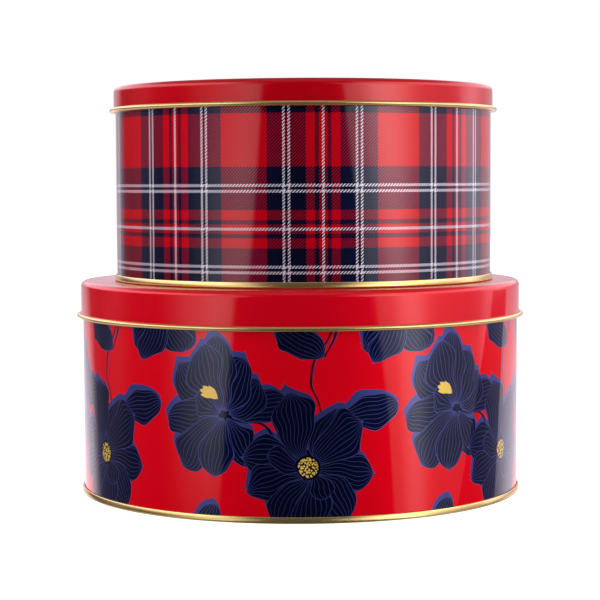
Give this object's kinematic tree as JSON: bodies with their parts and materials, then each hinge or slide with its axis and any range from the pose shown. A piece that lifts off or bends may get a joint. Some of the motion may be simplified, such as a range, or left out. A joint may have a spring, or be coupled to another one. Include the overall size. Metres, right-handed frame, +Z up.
{
  "type": "stacked round cookie tins",
  "caption": "Round tinplate cookie tins stacked as a set: printed walls, seamed bases, and lacquered slip-on lids with curled edges.",
  "frame": {"origin": "centre of the large tin's foot, on the surface it stands on", "axes": "+Z up through both tins; -Y the front of the prints; +Y the side seams at the back; the small tin stands slightly towards +X"},
  "size_m": [0.22, 0.22, 0.1972],
  "materials": {
    "floral_print": "gloss",
    "tartan_print": "gloss",
    "red_lacquer": "gloss",
    "gold_lacquer": "gloss"
  },
  "bodies": {
    "large_tin": {"large_wall": "floral_print", "large_base": "gold_lacquer"},
    "large_lid": {"large_lid": "red_lacquer"},
    "small_tin": {"small_wall": "tartan_print", "small_base": "gold_lacquer"},
    "small_lid": {"small_lid": "red_lacquer"}
  },
  "joints": [
    {"name": "large_lid_lift", "type": "slide", "parent": "large_tin", "child": "large_lid", "axis": [0, 0, 1], "range_m": [0, 0.08]},
    {"name": "small_tin_lift", "type": "slide", "parent": "large_lid", "child": "small_tin", "axis": [0, 0, 1], "range_m": [0, 0.08]},
    {"name": "small_lid_lift", "type": "slide", "parent": "small_tin", "child": "small_lid", "axis": [0, 0, 1], "range_m": [0, 0.08]}
  ]
}
